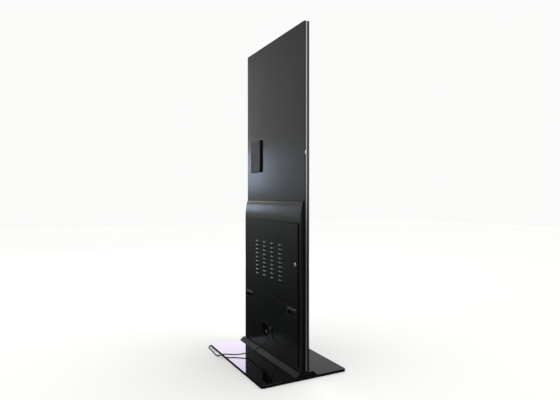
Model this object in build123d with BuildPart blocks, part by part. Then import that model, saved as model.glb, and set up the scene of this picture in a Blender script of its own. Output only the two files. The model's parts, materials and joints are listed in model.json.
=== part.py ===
from build123d import *
import os
from math import pi, radians, tan

# Free-standing touchscreen kiosk: a slim upright display panel on a flat steel base, with a
# shallow service housing on its lower back. Millimetres. The origin is on the floor under the
# middle of the base, +Z is up, the screen faces -Y and the service door faces +Y.

# ---- Overall sizes ----
total_height = 1900.0
panel_width = 748.0
base_margin = 7.0
base_depth = 518.0

# ---- Base ----
foot_height = 3.0
foot_radius = 20.0
foot_inset = 45.0
base_thickness = 12.0
base_corner = 14.0
plinth_overhang = 2.0
plinth_height = 21.0
plinth_back = 57.0
plinth_front = -76.0
plinth_run = 24.0

# ---- Steel stand inside the plinth and the panel ----
foot_rail_length = 600.0
foot_rail_depth = 84.0
foot_rail_thickness = 8.0
upright_width = 50.0
upright_depth = 10.0
upright_place = 245.0
upright_top = 900.0
cross_bar_height = 20.0
bolt_hole_radius = 5.2
bolt_radius = 5.0
bolt_length = 17.0
bolt_head = 5.5
bolt_pitch = 130.0
bolt_rows = 60.0

# ---- Small screws: head radius, head height and shank radius ----
plinth_screw = (3.0, 1.5, 1.5)
cover_screw = (2.8, 1.2, 1.8)
antenna_screw = (2.8, 1.0, 1.5)
housing_screw = (3.4, 1.2)
screw_play = 0.1

# ---- Panel layers, from the back to the front ----
panel_back = 1.0
tray_depth = 6.5
strip_depth = 7.5
carrier_depth = 9.5
glass_thickness = 4.0
panel_corner = 7.0
frame_wall = 14.0
carrier_wall = 18.0
profile_wall = 2.0

# ---- Display ----
screen_width = 680.4
screen_height = 1209.6
screen_middle = 1195.0
sensor_thickness = 1.1
cell_thickness = 1.5
backlight_depth = 10.0
backlight_edge = 10.0
layer_gap = 0.4
spacer_radius = 8.0
board_size = (300.0, 60.0, 1.6)
board_middle = 1530.0
chip_size = (80.0, 30.0, 3.0)

# ---- Remote-control receiver window in the side, aerial and its cover on the back ----
receiver_y = (-5.2, 0.0)
receiver_z = (1193.7, 1213.3)
receiver_gap = 0.2
receiver_proud = 0.6
antenna_x = (160.5, 295.5)
antenna_z = (1124.0, 1325.0)
antenna_depth = 12.0
antenna_corner = 6.0
antenna_wall = 2.0
antenna_post = 4.0
antenna_post_inset = 7.0
antenna_standoff = 2.0
antenna_board = (45.0, 1.2, 130.0)
cable_hole_x = (196.0, 222.0)
cable_hole_z = (1165.0, 1195.0)

# ---- Service housing on the back ----
sheet = 1.5
housing_inset = 10.0
housing_depth = 21.0
housing_top = 946.0
housing_curve = 116.0
bay_margin = 24.0
bay_inset = 14.0
jamb_left = 13.0
jamb_right = 14.0
opening_bottom = 58.0
panel_seam = 381.5
seam_gap = 2.0
lock_seam = 16.9
lip_width = 10.0
lock_lip_width = 24.0
door_top = 823.5
door_return = 12.0
housing_screw_inset = 5.0
housing_screw_heights = (120.0, 340.0, 560.0, 780.0)
stop_gap = 2.4
hinge_gap = 2.6

# ---- Louvres in the door ----
louvre_columns = 4
louvre_rows = 9
louvre_pitch_x = 103.4
louvre_pitch_z = 25.3
louvre_middle = (18.6, 580.5)
louvre_width = 48.0
louvre_height = 9.0

# ---- Door hinge and lock ----
pivot_setback = 5.0
pin_radius = 2.0
running_clearance = 0.06
bush_radius = 3.2
bush_length = 4.0
bracket_sheet = 2.6
bracket_gap = 0.7
lock_inset = 27.7
lock_z = 598.3
lock_radius = 9.5
lock_rim = 12.0
plug_radius = 6.5
cam_length = 36.0

# ---- Parts behind the louvres and the service door ----
plate_sheet = 1.5
plate_z = (400.0, 695.0)
plate_margin = 23.0
player_x = (-195.0, -15.0)
player_z = (412.0, 542.0)
player_depth = 20.0
player_slots = (12, 12.0, 5.0, 90.0, 3.0)
supply_x = (20.0, 200.0)
supply_z = (415.0, 515.0)
supply_depth = 22.0
supply_shelf = (4.0, 6.0)
supply_holes = (12, 5, 11.0, 3.5, 1.0)
fan_size = 80.0
fan_depth = 15.0
fan_bore = 37.5
fan_places = (72.0, -31.0)
fan_height = 640.0
fan_corner = 6.0
fan_screw_pitch = 71.0
fan_screw_hole = 2.2
fan_hub = 16.0
fan_blades = 7
blade_pitch = 32.0
blade_size = (21.0, 1.6, 9.0)
stub_radius = 2.0
speaker_width = 44.0
speaker_height = 104.0
speaker_depth = 17.0
speaker_corner = 5.0
driver_radius = 18.0
driver_spacing = 52.0
dome_radius = 7.0

# ---- Pull handles of the lower panel ----
handle_width = 112.0
handle_height = 48.0
handle_height_middle = 338.0
handle_places = (-273.6, 286.4)
handle_pocket = 14.0
handle_proud = 5.0
handle_bezel = 4.0
handle_bezel_sheet = 1.5
handle_play = 0.5
handle_wall = 2.0

# ---- Mains inlet recess ----
recess_x = (-34.0, 98.0)
recess_z = (122.0, 194.0)
recess_standoff = 3.0
inlet_place = (-14.0, 176.0)
switch_place = (32.0, 168.0)
socket_place = (82.0, 140.0)
rocker_tilt = 10.0
recess_flange = (6.0, 1.0)
inlet_hole = (27.0, 19.8)
inlet_depth = 18.0
switch_hole = (27.0, 20.0)
switch_depth = 14.0
socket_hole = (15.0, 16.0)
socket_depth = 14.0
rim_height = 2.0
nose = (23.6, 15.8, 15.0)
socket_gap = 0.25
rocker_half = 10.4
rocker_reach = 12.2
rocker_length = 15.2

# ---- Mains lead: its route from the connector to the coil, then its coil and plug ----
cord_radius = 3.5
harness_radius = 2.5
relief_start = (-14.0, 17.0, 166.0)
relief_end = (-14.0, 28.0, 147.0)
relief_radii = (6.5, 4.2)
connector_size = (30.0, 22.7, 24.5)
connector_top = 12.5
plug_size = (28.0, 38.0, 23.0)
plug_relief_length = 26.0
plug_relief_radii = (4.0, 7.0)
plug_gap = 15.0
pin_length = 18.0
cord_route = [
    relief_end,
    (-14.0, 37.0, 131.4),
    (-7.0, 53.0, 104.0),
    (6.0, 86.0, 79.0),
    (35.0, 110.0, 54.0),
    (65.0, 133.0, 33.0),
    (79.0, 172.0, 27.0),
    (96.0, 205.0, 24.0),
    (112.0, 235.0, 25.0),
    (138.0, 264.0, 25.0),
    (170.0, 284.0, 5.5),
    (215.0, 288.0, 3.5),
    (275.0, 282.0, 3.5),
    (335.0, 281.0, 3.5),
    (384.0, 272.0, 3.5),
    (400.0, 232.0, 3.5),
    (395.0, 180.0, 3.5),
    (397.0, 110.0, 3.5),
    (395.0, 40.0, 3.5),
    (399.0, -22.0, 3.5),
    (404.0, -70.0, 3.5),
]
coil_middle = (446.0, -104.0)
coil_radius = 38.5
coil_turns_across = 2
coil_turns_up = 2

# ---- Places worked out from the sizes above ----
plinth_length = panel_width + 2 * plinth_overhang
base_width = plinth_length + 2 * base_margin
base_top = foot_height + base_thickness
panel_bottom = base_top + plinth_height
panel_height = total_height - panel_bottom
panel_middle = (total_height + panel_bottom) / 2
tray_front = panel_back - tray_depth
strip_front = tray_front - strip_depth
glass_back = strip_front - carrier_depth
panel_front = glass_back - glass_thickness
housing_back = panel_back + housing_depth
housing_width = panel_width - 2 * housing_inset
opening_left = housing_width / 2 - jamb_left
opening_right = jamb_right - housing_width / 2
opening_top = door_top + seam_gap
upright_back = upright_depth / 2
door_left = opening_left - hinge_gap
door_right = opening_right + lock_seam
door_bottom = panel_seam + seam_gap
return_front = housing_back - door_return
lip_back = return_front - stop_gap
pivot = (door_left - pivot_setback, housing_back - pivot_setback)
lock_x = door_right + lock_inset
recess_floor = panel_back + recess_standoff

os.makedirs("parts", exist_ok=True)


def block(x, y, z, mode=Mode.ADD):
    """Puts a rectangular block between two limits on each axis into the part being made."""
    with Locations((sum(x) / 2, sum(y) / 2, sum(z) / 2)):
        Box(x[1] - x[0], y[1] - y[0], z[1] - z[0], mode=mode)


def rod(centre, radius, length, along="Z", mode=Mode.ADD):
    """Puts a round bar, centred on a point and along an axis, into the part being made."""
    turn = {"X": (0, 90, 0), "Y": (-90, 0, 0), "Z": (0, 0, 0)}[along]
    with Locations(Location(centre, turn)):
        Cylinder(radius, length, mode=mode)


def facing_front(y):
    """A drawing plane at this depth: X to the right, Z up, extruded towards the screen."""
    return Plane.XZ.offset(-y)


def save(part, name):
    """Labels a finished piece and writes it as its own file."""
    part.label = name
    export_step(part, f"parts/{name}.step")


# ================= Base =================

with BuildPart() as base_plate:
    with BuildSketch(Plane.XY.offset(foot_height)):
        RectangleRounded(base_width, base_depth, base_corner)
        with GridLocations(bolt_pitch, bolt_rows, 4, 2):
            Circle(bolt_radius, mode=Mode.SUBTRACT)
    extrude(amount=base_thickness)
    top_edges = base_plate.faces().sort_by(Axis.Z)[-1].outer_wire().edges()
    chamfer(top_edges, 0.8)
save(base_plate.part, "base_plate")

with BuildPart() as base_feet:
    with BuildSketch(Plane.XY):
        with GridLocations(base_width / 2 - foot_inset, base_depth - 2 * foot_inset, 3, 2):
            Circle(foot_radius)
    extrude(amount=foot_height)
save(base_feet.part, "base_feet")

with BuildPart() as stand_frame:
    block((-foot_rail_length / 2, foot_rail_length / 2),
          (-foot_rail_depth / 2, foot_rail_depth / 2),
          (base_top, base_top + foot_rail_thickness))
    for side in (-1, 1):
        x = side * upright_place
        block((x - upright_width / 2, x + upright_width / 2), (-upright_back, upright_back),
              (base_top, upright_top))
    for bar_bottom in (recess_z[1] + sheet, upright_top - cross_bar_height):
        block((-upright_place, upright_place), (-upright_back, upright_back),
              (bar_bottom, bar_bottom + cross_bar_height))
    with BuildSketch(Plane.XY.offset(base_top)):
        with GridLocations(bolt_pitch, bolt_rows, 4, 2):
            Circle(bolt_hole_radius)
    extrude(amount=foot_rail_thickness, mode=Mode.SUBTRACT)
save(stand_frame.part, "stand_frame")

with BuildPart() as foot_bolts:
    rail_top = base_top + foot_rail_thickness
    with BuildSketch(Plane.XY.offset(rail_top)):
        with GridLocations(bolt_pitch, bolt_rows, 4, 2):
            RegularPolygon(bolt_radius * 1.6, 6)
    extrude(amount=bolt_head)
    with BuildSketch(Plane.XY.offset(rail_top)):
        with GridLocations(bolt_pitch, bolt_rows, 4, 2):
            Circle(bolt_radius)
    extrude(amount=-bolt_length)
save(foot_bolts.part, "foot_bolts")


def plinth_outline(inward, height):
    """The plinth's section across its depth, drawn this far inside its outer skin."""
    rise = height - base_top
    slant = plinth_run * rise / plinth_height
    return [
        (plinth_front + inward, base_top),
        (plinth_front + inward + slant, height),
        (plinth_back - inward - slant, height),
        (plinth_back - inward, base_top),
    ]


plinth_screw_places = (plinth_front + 2 * plinth_run, plinth_back - 2 * plinth_run)
plinth_screw_height = base_top + plinth_height / 2
with BuildPart() as plinth_cover:
    with BuildSketch(Plane.YZ.offset(-plinth_length / 2)):
        with BuildLine():
            Polyline(*plinth_outline(0, panel_bottom), close=True)
        make_face()
    extrude(amount=plinth_length)
    with BuildSketch(Plane.YZ.offset(-plinth_length / 2 + sheet)):
        with BuildLine():
            Polyline(*plinth_outline(2 * sheet, panel_bottom - sheet), close=True)
        make_face()
    extrude(amount=plinth_length - 2 * sheet, mode=Mode.SUBTRACT)
    for side in (-1, 1):
        x = side * upright_place
        block((x - upright_width / 2 - 1, x + upright_width / 2 + 1),
              (-upright_back - 1, upright_back + 1),
              (panel_bottom - 2 * sheet, panel_bottom + 1), mode=Mode.SUBTRACT)
    for side in (-1, 1):
        for y in plinth_screw_places:
            rod((side * plinth_length / 2, y, plinth_screw_height), plinth_screw[2], 4 * sheet, "X",
                Mode.SUBTRACT)
save(plinth_cover.part, "plinth_cover")

with BuildPart() as plinth_screws:
    for side in (-1, 1):
        for y in plinth_screw_places:
            head, head_height, shank = plinth_screw
            x = side * (plinth_length / 2 + head_height / 2)
            rod((x, y, plinth_screw_height), head, head_height, "X")
            rod((side * (plinth_length / 2 - sheet), y, plinth_screw_height), shank, 2 * sheet, "X")
save(plinth_screws.part, "plinth_screws")

# ================= Panel frame =================

half_w = panel_width / 2
inner_w = half_w - frame_wall
inner_z = (panel_bottom + frame_wall, total_height - frame_wall)
rails = {
    "frame_side_left": [(half_w, panel_bottom), (half_w, total_height),
                        (inner_w, inner_z[1]), (inner_w, inner_z[0])],
    "frame_side_right": [(-half_w, total_height), (-half_w, panel_bottom),
                         (-inner_w, inner_z[0]), (-inner_w, inner_z[1])],
    "frame_top": [(half_w, total_height), (-half_w, total_height),
                  (-inner_w, inner_z[1]), (inner_w, inner_z[1])],
    "frame_bottom": [(-half_w, panel_bottom), (half_w, panel_bottom),
                     (inner_w, inner_z[0]), (-inner_w, inner_z[0])],
}
for rail_name, outline in rails.items():
    with BuildPart() as rail:
        with BuildSketch(facing_front(tray_front)) as mitred:
            with Locations((0, panel_middle)):
                RectangleRounded(panel_width, panel_height, panel_corner)
            with BuildLine():
                Polyline(*outline, close=True)
            make_face(mode=Mode.INTERSECT)
        extrude(amount=strip_depth)
        with BuildSketch(facing_front(tray_front)):
            with Locations((0, panel_middle)):
                RectangleRounded(panel_width - 2 * profile_wall, panel_height - 2 * profile_wall,
                                 panel_corner - profile_wall)
                Rectangle(panel_width - 2 * (frame_wall - profile_wall),
                          panel_height - 2 * (frame_wall - profile_wall), mode=Mode.SUBTRACT)
        extrude(amount=strip_depth - profile_wall, mode=Mode.SUBTRACT)
    save(rail.part, rail_name)

with BuildPart() as corner_keys:
    key_leg = 45.0
    key_width = frame_wall - 2 * profile_wall - 0.4
    reach = key_width / 2 + profile_wall + 0.2
    with BuildSketch(facing_front(tray_front - 1.0)):
        for sx in (-1, 1):
            for top in (False, True):
                corner_x = sx * (half_w - reach)
                corner_z = total_height - reach if top else panel_bottom + reach
                step = -1 if top else 1
                with Locations((corner_x - sx * key_leg / 2 + sx * key_width / 2, corner_z)):
                    Rectangle(key_leg, key_width)
                with Locations((corner_x, corner_z + step * (key_leg - key_width) / 2)):
                    Rectangle(key_width, key_leg)
    extrude(amount=strip_depth - profile_wall - 1.0)
    corner_posts = corner_keys.edges().filter_by(Axis.Y)
    outer_posts = [e for e in corner_posts
                   if abs(abs(e.center().X) - (half_w - reach + key_width / 2)) < 0.1
                   and min(abs(e.center().Z - total_height + profile_wall + 0.2),
                           abs(e.center().Z - panel_bottom - profile_wall - 0.2)) < 0.1]
    fillet(outer_posts, panel_corner - profile_wall)
save(corner_keys.part, "corner_keys")

with BuildPart() as glass_carrier:
    with BuildSketch(facing_front(strip_front)):
        with Locations((0, panel_middle)):
            RectangleRounded(panel_width, panel_height, panel_corner)
            Rectangle(panel_width - 2 * carrier_wall, panel_height - 2 * carrier_wall,
                      mode=Mode.SUBTRACT)
    extrude(amount=carrier_depth)
save(glass_carrier.part, "glass_carrier")

with BuildPart() as front_glass:
    with BuildSketch(facing_front(glass_back)):
        with Locations((0, panel_middle)):
            RectangleRounded(panel_width, panel_height, panel_corner)
    extrude(amount=glass_thickness)
    front_edges = front_glass.faces().sort_by(Axis.Y)[0].edges()
    chamfer(front_edges, 0.6)
save(front_glass.part, "front_glass")

# ================= Display =================

sensor_front = glass_back
cell_front = sensor_front + sensor_thickness + layer_gap
backlight_front = cell_front + cell_thickness
backlight_back = backlight_front + backlight_depth


def screen_layer(margin, front, thickness):
    """A rectangular display layer, this much wider than the picture on every side."""
    block((-screen_width / 2 - margin, screen_width / 2 + margin), (front, front + thickness),
          (screen_middle - screen_height / 2 - margin, screen_middle + screen_height / 2 + margin))


with BuildPart() as touch_sensor:
    screen_layer(backlight_edge + 3, sensor_front, sensor_thickness)
save(touch_sensor.part, "touch_sensor")

with BuildPart() as lcd_cell:
    screen_layer(backlight_edge - 3, cell_front, cell_thickness)
save(lcd_cell.part, "lcd_cell")

with BuildPart() as backlight_unit:
    screen_layer(backlight_edge, backlight_front, backlight_depth)
save(backlight_unit.part, "backlight_unit")

with BuildPart() as timing_board:
    rise = backlight_back
    for wide, tall, thick in (board_size, chip_size):
        block((-wide / 2, wide / 2), (rise, rise + thick),
              (board_middle - tall / 2, board_middle + tall / 2))
        rise += thick
save(timing_board.part, "timing_board")

with BuildPart() as lcd_spacers:
    for x in (-upright_place, upright_place):
        for z in (upright_top - 180, upright_top - 30):
            rod((x, (backlight_back - upright_back) / 2, z), spacer_radius,
                -upright_back - backlight_back, "Y")
save(lcd_spacers.part, "lcd_spacers")

lcd_edge_x = screen_width / 2 + backlight_edge
bracket_heights = [screen_middle + step * screen_height / 3 for step in (-1, 0, 1)]
with BuildPart() as lcd_brackets:
    for side in (-1, 1):
        for z in bracket_heights:
            x = sorted((side * (lcd_edge_x - 25), side * (half_w - 3)))
            block(x, (tray_front, tray_front + 2), (z - 20, z + 20))
            pad = sorted((side * (lcd_edge_x - 25), side * (lcd_edge_x - 5)))
            block(pad, (backlight_back, tray_front), (z - 20, z + 20))
save(lcd_brackets.part, "lcd_brackets")

# ================= Back cover =================

with BuildPart() as back_cover:
    with BuildSketch(facing_front(panel_back)):
        with Locations((0, panel_middle)):
            RectangleRounded(panel_width, panel_height, panel_corner)
    extrude(amount=tray_depth)
    with BuildSketch(facing_front(panel_back - sheet)):
        with Locations((0, panel_middle)):
            RectangleRounded(panel_width - 2 * sheet, panel_height - 2 * sheet,
                             panel_corner - sheet)
    extrude(amount=tray_depth, mode=Mode.SUBTRACT)
    bay_bottom = opening_bottom - lip_width
    bay_top = housing_top - bay_margin
    bay_half = housing_width / 2 - bay_inset
    block((-bay_half, bay_half), (panel_back - 2 * sheet, panel_back + 1),
          (bay_bottom, bay_top), mode=Mode.SUBTRACT)
    notch_half = upright_place + upright_width / 2 + 1
    block((-notch_half, notch_half), (-upright_back - 1, upright_back + 1),
          (panel_bottom - 1, bay_bottom + 1), Mode.SUBTRACT)
    rim = back_cover.faces().sort_by(Axis.Y)[-1].outer_wire().edges()
    fillet(rim, 1.2)
    screw_heights = [panel_bottom + panel_height * k / 8 for k in (0.25, 2, 4, 6, 7.75)]
    screw_x = half_w - frame_wall / 2
    for side in (-1, 1):
        for z in screw_heights:
            rod((side * screw_x, panel_back - sheet / 2, z), cover_screw[2], sheet + 1, "Y",
                Mode.SUBTRACT)
    block((-half_w - 1, -half_w + sheet + 1),
          (receiver_y[0] - receiver_gap, receiver_y[1] + receiver_gap),
          (receiver_z[0] - receiver_gap, receiver_z[1] + receiver_gap), mode=Mode.SUBTRACT)
    block(cable_hole_x, (panel_back - 2 * sheet, panel_back + 1), cable_hole_z, mode=Mode.SUBTRACT)
save(back_cover.part, "back_cover")

with BuildPart() as back_cover_screws:
    for side in (-1, 1):
        for z in screw_heights:
            head, head_height, shank = cover_screw
            rod((side * screw_x, panel_back + head_height / 2, z), head, head_height, "Y")
            rod((side * screw_x, (panel_back + tray_front) / 2, z), shank, tray_depth, "Y")
save(back_cover_screws.part, "back_cover_screws")

with BuildPart() as receiver_window:
    block((-half_w - receiver_proud, -half_w + sheet + 1), receiver_y, receiver_z)
save(receiver_window.part, "receiver_window")

antenna_back = panel_back + antenna_depth
antenna_posts = [(x, z) for x in (antenna_x[0] + antenna_post_inset, antenna_x[1] - antenna_post_inset)
                 for z in (antenna_z[0] + antenna_post_inset, antenna_z[1] - antenna_post_inset)]
with BuildPart() as antenna_cover:
    block(antenna_x, (panel_back, antenna_back), antenna_z)
    fillet(antenna_cover.edges().filter_by(Axis.Y), antenna_corner)
    fillet(antenna_cover.faces().sort_by(Axis.Y)[-1].edges(), antenna_wall)
    block((antenna_x[0] + antenna_wall, antenna_x[1] - antenna_wall),
          (panel_back - 1, antenna_back - antenna_wall),
          (antenna_z[0] + antenna_wall, antenna_z[1] - antenna_wall), mode=Mode.SUBTRACT)
    for x, z in antenna_posts:
        rod((x, (panel_back + antenna_back - antenna_wall) / 2, z), antenna_post,
            antenna_depth - antenna_wall, "Y")
        rod((x, panel_back + antenna_depth / 2, z), antenna_screw[2] + screw_play,
            antenna_depth + 1, "Y", Mode.SUBTRACT)
save(antenna_cover.part, "antenna_cover")

with BuildPart() as antenna_screws:
    head, head_height, shank = antenna_screw
    for x, z in antenna_posts:
        rod((x, antenna_back + head_height / 2, z), head, head_height, "Y")
        rod((x, panel_back + antenna_depth / 2, z), shank, antenna_depth, "Y")
save(antenna_screws.part, "antenna_screws")

antenna_middle = (sum(antenna_x) / 2, sum(antenna_z) / 2)
with BuildPart() as wifi_antenna:
    board_y = (panel_back + antenna_standoff, panel_back + antenna_standoff + antenna_board[1])
    block((antenna_middle[0] - antenna_board[0] / 2, antenna_middle[0] + antenna_board[0] / 2), board_y,
          (antenna_middle[1] - antenna_board[2] / 2, antenna_middle[1] + antenna_board[2] / 2))
    rod((antenna_middle[0], panel_back + antenna_standoff / 2, antenna_middle[1]), 3.0,
        antenna_standoff, "Y")
save(wifi_antenna.part, "wifi_antenna")

# ================= Service housing =================

mouth_x = (opening_right, opening_left)
mouth_z = (opening_bottom, opening_top)
wall_x = (opening_right - sheet, opening_left + sheet)
wall_z = (opening_bottom - sheet, opening_top + sheet)
lip_y = (lip_back - sheet, lip_back)
upper_lip = (panel_seam + lip_width, opening_top - lip_width)
lower_lip = (opening_bottom + lip_width, panel_seam - lip_width)
clear_x = (opening_right + lock_lip_width, opening_left - lip_width)
through_lip = (lip_back - 2 * sheet, lip_back + 1)


curve_start = housing_top - housing_curve
with BuildPart() as rear_housing:
    # The outer skin, then the same section drawn one sheet further in and taken away.
    for inward, mode in ((0, Mode.ADD), (sheet, Mode.SUBTRACT)):
        back = housing_back - inward
        with BuildSketch(Plane.YZ.offset(inward - housing_width / 2)):
            with BuildLine():
                Line((panel_back, panel_bottom), (back, panel_bottom))
                Line((back, panel_bottom), (back, curve_start))
                EllipticalCenterArc((panel_back, curve_start), back - panel_back,
                                    housing_curve - inward, 0, arc_size=90)
                Line((panel_back, housing_top - inward), (panel_back, panel_bottom))
            make_face()
        extrude(amount=housing_width - 2 * inward, mode=mode)
    block(wall_x, (lip_y[0], housing_back - sheet / 2), wall_z)
    block(mouth_x, (lip_back, housing_back + 1), mouth_z, Mode.SUBTRACT)
    block(clear_x, through_lip, lower_lip, Mode.SUBTRACT)
    block(clear_x, through_lip, upper_lip, Mode.SUBTRACT)
    rod((pivot[0], pivot[1], opening_top + sheet / 2), pin_radius, sheet, "Z", Mode.SUBTRACT)
save(rear_housing.part, "rear_housing")

with BuildPart() as housing_screws:
    head, head_height = housing_screw
    for side in (-1, 1):
        for z in housing_screw_heights:
            x = side * (housing_width / 2 + head_height / 2)
            rod((x, panel_back + housing_screw_inset, z), head, head_height, "X")
save(housing_screws.part, "housing_screws")

with BuildPart() as door_gasket:
    seal_x = (door_right + 1, opening_left - 16)
    seal_y = (lip_back, return_front - 0.2)
    block(seal_x, seal_y, (opening_top - 8, opening_top - 1))
    block(seal_x, seal_y, (door_bottom, door_bottom + 7))
    block((seal_x[0], seal_x[0] + 7), seal_y, (door_bottom, opening_top - 1))
save(door_gasket.part, "door_gasket")


def folded_panel(x, z):
    """A sheet whose four edges are folded inwards, its outer face level with the housing's."""
    block(x, (return_front, housing_back), z)
    block((x[0] + sheet, x[1] - sheet), (return_front - 1, housing_back - sheet),
          (z[0] + sheet, z[1] - sheet), Mode.SUBTRACT)


panel_left = door_left - 1.0
panel_top = panel_seam - seam_gap
hole_x = handle_width / 2 - handle_bezel
hole_z = handle_height / 2 - handle_bezel
with BuildPart() as lower_panel:
    folded_panel((door_right, panel_left), (opening_bottom + seam_gap, panel_top))
    face_cut = (housing_back - 2 * sheet, housing_back + 1)
    for x in handle_places:
        block((x - hole_x, x + hole_x), face_cut,
              (handle_height_middle - hole_z, handle_height_middle + hole_z), Mode.SUBTRACT)
    block((recess_x[0] - sheet - 0.5, recess_x[1] + sheet + 0.5), face_cut,
          (recess_z[0] - sheet - 0.5, recess_z[1] + sheet + 0.5), Mode.SUBTRACT)
save(lower_panel.part, "lower_panel")

cup_x = hole_x - handle_play
cup_z = hole_z - handle_play
for place, handle_name in zip(handle_places, ("pull_handle_right", "pull_handle_left")):
    with BuildPart() as pull_handle:
        with BuildSketch(facing_front(housing_back + handle_bezel_sheet)):
            with Locations((place, handle_height_middle)):
                RectangleRounded(handle_width, handle_height, 4)
        extrude(amount=handle_bezel_sheet)
        block((place - cup_x, place + cup_x), (housing_back - handle_pocket - sheet, housing_back),
              (handle_height_middle - cup_z, handle_height_middle + cup_z))
        finger_x = (place - cup_x + handle_wall, place + cup_x - handle_wall)
        finger_z = (handle_height_middle - cup_z + handle_wall,
                    handle_height_middle + cup_z - handle_wall)
        block(finger_x, (housing_back - handle_pocket, housing_back + 2 * handle_bezel_sheet),
              (finger_z[0], handle_height_middle), Mode.SUBTRACT)
        block(finger_x, (housing_back - handle_pocket, housing_back - handle_wall),
              (handle_height_middle - 1, finger_z[1]), Mode.SUBTRACT)
        with BuildSketch(Plane.YZ.offset(finger_x[0])):
            with BuildLine():
                grip_low = (housing_back, handle_height_middle)
                grip_mid = (housing_back + handle_proud, handle_height_middle + 6)
                grip_high = (housing_back, handle_height_middle + cup_z + 1.5)
                ThreePointArc(grip_low, grip_mid, grip_high)
                Line(grip_high, grip_low)
            make_face()
        extrude(amount=finger_x[1] - finger_x[0])
    save(pull_handle.part, handle_name)

# ================= Service door =================

with BuildPart() as service_door:
    folded_panel((door_right, door_left), (door_bottom, door_top))
    with BuildSketch(facing_front(housing_back)):
        with Locations(louvre_middle):
            with GridLocations(louvre_pitch_x, louvre_pitch_z, louvre_columns, louvre_rows):
                Rectangle(louvre_width, louvre_height)
    extrude(amount=sheet, mode=Mode.SUBTRACT)
    rod((lock_x, housing_back, lock_z), lock_radius, 3 * sheet, "Y", Mode.SUBTRACT)
    for z in (door_top - sheet / 2, door_bottom + sheet / 2):
        rod((pivot[0], pivot[1], z), bush_radius, sheet, "Z", Mode.SUBTRACT)
save(service_door.part, "service_door")

with BuildPart() as hinge_bushes:
    for z in (door_top - bush_length / 2, door_bottom + bush_length / 2):
        rod((pivot[0], pivot[1], z), bush_radius, bush_length)
        rod((pivot[0], pivot[1], z), pin_radius + running_clearance, bush_length, "Z",
            Mode.SUBTRACT)
save(hinge_bushes.part, "hinge_bushes")

upper_tab = (wall_z[1], wall_z[1] + bracket_sheet)
lower_tab = (door_bottom - bracket_gap - bracket_sheet, door_bottom - bracket_gap)
with BuildPart() as hinge_brackets:
    block((pivot[0] - 8, wall_x[1]), (pivot[1] - 6, housing_back - sheet), upper_tab)
    block((pivot[0] - 8, opening_left), (lip_back, housing_back - sheet), lower_tab)
    block((opening_left - 2, opening_left), (lip_back, housing_back - sheet),
          (lower_tab[0] - 30, lower_tab[0]))
    for tab in (upper_tab, lower_tab):
        rod((pivot[0], pivot[1], sum(tab) / 2), pin_radius, bracket_sheet, "Z", Mode.SUBTRACT)
save(hinge_brackets.part, "hinge_brackets")

upper_pin = (door_top - bush_length - 1, upper_tab[1])
lower_pin = (lower_tab[0], door_bottom + bush_length + 1)
with BuildPart() as hinge_pins:
    for low, high in (upper_pin, lower_pin):
        rod((pivot[0], pivot[1], (low + high) / 2), pin_radius, high - low)
save(hinge_pins.part, "hinge_pins")

# ================= Lock =================

cam_back = lip_y[0] - 1.0
cam_sheet = 1.5
body_front = cam_back + 0.4
with BuildPart() as lock_body:
    rim_y = (housing_back, housing_back + 1.8)
    rod((lock_x, sum(rim_y) / 2, lock_z), lock_rim, rim_y[1] - rim_y[0], "Y")
    fillet(lock_body.faces().sort_by(Axis.Y)[-1].edges(), 1.0)
    rod((lock_x, (body_front + housing_back) / 2, lock_z), lock_radius,
        housing_back - body_front, "Y")
    rod((lock_x, (body_front + rim_y[1]) / 2, lock_z), plug_radius + running_clearance,
        rim_y[1] - body_front + 2, "Y", Mode.SUBTRACT)
save(lock_body.part, "lock_body")

with BuildPart() as lock_nut:
    with BuildSketch(facing_front(housing_back - sheet)):
        with Locations((lock_x, lock_z)):
            RegularPolygon(15, 6)
            Circle(lock_radius, mode=Mode.SUBTRACT)
    extrude(amount=4)
save(lock_nut.part, "lock_nut")

with BuildPart() as lock_plug:
    plug_y = (cam_back, housing_back + 1.6)
    rod((lock_x, sum(plug_y) / 2, lock_z), plug_radius, plug_y[1] - plug_y[0], "Y")
    fillet(lock_plug.faces().sort_by(Axis.Y)[-1].edges(), 0.5)
    block((lock_x - 0.9, lock_x + 0.9), (plug_y[1] - 6, plug_y[1] + 1), (lock_z - 4, lock_z + 4),
          Mode.SUBTRACT)
save(lock_plug.part, "lock_plug")

with BuildPart() as lock_cam:
    cam_y = (cam_back - cam_sheet, cam_back)
    block((lock_x - 8, lock_x + 8), cam_y, (lock_z - 9, lock_z + cam_length))
    cam_ends = lock_cam.edges().filter_by(Axis.Y)
    fillet(cam_ends, 4)
save(lock_cam.part, "lock_cam")

with BuildPart() as cam_screw:
    rod((lock_x, cam_y[0] - 1.2, lock_z), 4.5, 2.4, "Y")
    with BuildSketch(facing_front(cam_y[0] - 2.4)):
        with Locations((lock_x, lock_z)):
            Rectangle(6, 1.2)
    extrude(amount=-1, mode=Mode.SUBTRACT)
save(cam_screw.part, "cam_screw")

# ================= Equipment inside =================

plate_back = -upright_back
plate_y = (plate_back - plate_sheet, plate_back)
plate_x = (-upright_place - plate_margin, upright_place + plate_margin)
with BuildPart() as equipment_plate:
    block(plate_x, plate_y, plate_z)
    for x in fan_places:
        rod((x, plate_back, fan_height), fan_bore, 2 * fan_depth, "Y", Mode.SUBTRACT)
save(equipment_plate.part, "equipment_plate")

with BuildPart() as media_player:
    slots, slot_pitch, slot_width, slot_length, slot_depth = player_slots
    block(player_x, (plate_back, plate_back + player_depth), player_z)
    fillet(media_player.edges().filter_by(Axis.Y), 4)
    with BuildSketch(facing_front(plate_back + player_depth)):
        with Locations((sum(player_x) / 2, sum(player_z) / 2)):
            with GridLocations(slot_pitch, 0, slots, 1):
                Rectangle(slot_width, slot_length)
    extrude(amount=slot_depth, mode=Mode.SUBTRACT)
save(media_player.part, "media_player")

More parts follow.
